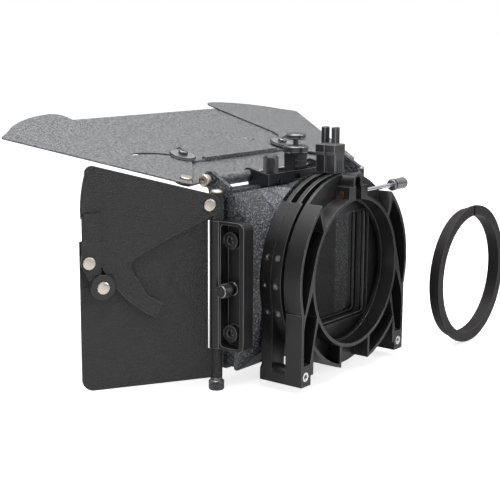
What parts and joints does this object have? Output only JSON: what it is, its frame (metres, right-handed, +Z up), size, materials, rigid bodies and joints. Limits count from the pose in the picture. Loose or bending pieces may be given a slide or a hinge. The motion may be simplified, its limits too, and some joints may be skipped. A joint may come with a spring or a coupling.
{
  "type": "matte box",
  "caption": "Clip-on camera matte box with a split lens clamp, a rotating and a fixed filter stage, a rectangular hood, a tilting top flag with folding wings and swinging side flags.",
  "frame": {"origin": "centre of the lens clamp's bore, on the clamp's rear face", "axes": "+Y points back at the camera along the lens axis, so the hood looks along -Y. +Z is up. +X is the camera operator's left."},
  "size_m": [0.4502, 0.2983, 0.2333],
  "materials": {
    "moulded_black": "smooth satin moulding",
    "pebbled_black": "coarse pebble texture",
    "grained_black": "black leather-grain coating on sheet",
    "powder_grey": "fine grey powder coat on sheet",
    "dark_metal": "dark anodised, machined",
    "nickel": "warm nickel plate",
    "bright_steel": "polished",
    "brass": "turned",
    "rubber": "matt black",
    "grip_grey": "grey anodised, turned",
    "matte_black": "matt, dark brown-grey barrel"
  },
  "bodies": {
    "frame": {"lens_clamp_ring": "moulded_black", "clamp_nut": "brass", "left_foot_insert": "bright_steel", "right_foot_insert": "bright_steel", "front_stage": "moulded_black", "hood_shell": "pebbled_black", "top_hinge_rod": "bright_steel", "left_hinge_cap": "nickel", "right_hinge_cap": "nickel", "top_hinge_bracket": "dark_metal", "tilt_clamp_plate": "powder_grey", "button_tower": "moulded_black", "left_side_bracket": "moulded_black", "left_upper_bracket_screw": "dark_metal", "left_lower_bracket_screw": "dark_metal", "left_accessory_stud": "grip_grey", "right_side_bracket": "moulded_black", "right_upper_bracket_screw": "dark_metal", "right_lower_bracket_screw": "dark_metal", "right_accessory_stud": "grip_grey"},
    "clamp_tightener": {"clamp_screw": "bright_steel", "clamp_handle": "grip_grey"},
    "rotating_stage": {"rear_stage": "moulded_black"},
    "rear_tray": {"rear_filter_tray": "moulded_black", "rear_tray_handle": "dark_metal"},
    "front_tray": {"front_filter_tray": "moulded_black", "front_tray_handle": "dark_metal"},
    "tilt_knob": {"tilt_lock_knob": "dark_metal"},
    "button": {"release_button": "dark_metal"},
    "top_flag": {"top_flag_hinge_plate": "powder_grey", "top_flag_panel": "powder_grey", "left_wing_pivot": "nickel", "right_wing_pivot": "nickel", "left_wing_washer": "dark_metal", "right_wing_washer": "dark_metal", "left_wing_screw": "dark_metal", "right_wing_screw": "dark_metal"},
    "left_wing": {"left_wing": "powder_grey"},
    "right_wing": {"right_wing": "powder_grey"},
    "left_flag": {"left_side_flag": "grained_black", "left_hinge_pin": "dark_metal", "left_pin_screw": "nickel", "left_extension_guide": "grained_black", "left_friction_washer": "rubber", "left_pivot_rivet": "nickel", "left_upper_guide_rivet": "nickel", "left_lower_guide_rivet": "nickel"},
    "left_extension": {"left_extension_plate": "grained_black"},
    "left_knob": {"left_hinge_knob": "dark_metal"},
    "right_flag": {"right_side_flag": "grained_black", "right_hinge_pin": "dark_metal", "right_pin_screw": "nickel", "right_extension_guide": "grained_black", "right_friction_washer": "rubber", "right_pivot_rivet": "nickel", "right_upper_guide_rivet": "nickel", "right_lower_guide_rivet": "nickel"},
    "right_extension": {"right_extension_plate": "grained_black"},
    "right_knob": {"right_hinge_knob": "dark_metal"},
    "loose_ring": {"reduction_ring": "matte_black"}
  },
  "joints": [
    {"name": "clamp_screw_turn", "type": "hinge", "parent": "frame", "child": "clamp_tightener", "pos_m": [-0.03, -0.0091, 0.0698], "axis": [1, 0, 0], "continuous": true},
    {"name": "rear_stage_turn", "type": "hinge", "parent": "frame", "child": "rotating_stage", "pos_m": [0, -0.0257, 0], "axis": [0, 1, 0], "range_deg": [-95, 95]},
    {"name": "rear_tray_slide", "type": "slide", "parent": "rotating_stage", "child": "rear_tray", "axis": [0, 0, 1], "range_m": [0, 0.145]},
    {"name": "front_tray_slide", "type": "slide", "parent": "frame", "child": "front_tray", "axis": [0, 0, 1], "range_m": [0, 0.145]},
    {"name": "tilt_knob_turn", "type": "hinge", "parent": "frame", "child": "tilt_knob", "pos_m": [0.0289, -0.0754, 0.09], "axis": [0, 0, 1], "continuous": true},
    {"name": "button_lift", "type": "slide", "parent": "frame", "child": "button", "axis": [0, 0, 1], "range_m": [0, 0.004], "stiffness_N_per_m": 400},
    {"name": "top_flag_tilt", "type": "hinge", "parent": "frame", "child": "top_flag", "pos_m": [0, -0.0857, 0.0853], "axis": [-1, 0, 0], "range_deg": [-16, 78]},
    {"name": "left_wing_fold", "type": "hinge", "parent": "top_flag", "child": "left_wing", "pos_m": [0.1189, -0.09768, 0.08851], "axis": [0, -0.2588, -0.9659], "range_deg": [0, 37]},
    {"name": "right_wing_fold", "type": "hinge", "parent": "top_flag", "child": "right_wing", "pos_m": [-0.1189, -0.09768, 0.08851], "axis": [0, 0.2588, 0.9659], "range_deg": [0, 37]},
    {"name": "left_flag_swing", "type": "hinge", "parent": "frame", "child": "left_flag", "pos_m": [0.1105, -0.071, 0], "axis": [0, 0, -1], "range_deg": [-50, 21]},
    {"name": "right_flag_swing", "type": "hinge", "parent": "frame", "child": "right_flag", "pos_m": [-0.1105, -0.071, 0], "axis": [0, 0, 1], "range_deg": [-104, 6]},
    {"name": "left_extension_raise", "type": "hinge", "parent": "left_flag", "child": "left_extension", "pos_m": [0.11743, -0.075, 0.0672], "axis": [-0.5, -0.866, 0], "range_deg": [-14, 14]},
    {"name": "right_extension_raise", "type": "hinge", "parent": "right_flag", "child": "right_extension", "pos_m": [-0.11134, -0.07896, 0.0672], "axis": [-0.9945, 0.1045, 0], "range_deg": [0, 12]},
    {"name": "left_knob_turn", "type": "hinge", "parent": "left_flag", "child": "left_knob", "pos_m": [0.1105, -0.071, -0.09], "axis": [0, 0, 1], "continuous": true},
    {"name": "right_knob_turn", "type": "hinge", "parent": "right_flag", "child": "right_knob", "pos_m": [-0.1105, -0.071, -0.09], "axis": [0, 0, 1], "continuous": true},
    {"name": "ring_lift", "type": "slide", "parent": "frame", "child": "loose_ring", "axis": [0, 0, 1], "range_m": [0, 0.15]}
  ]
}
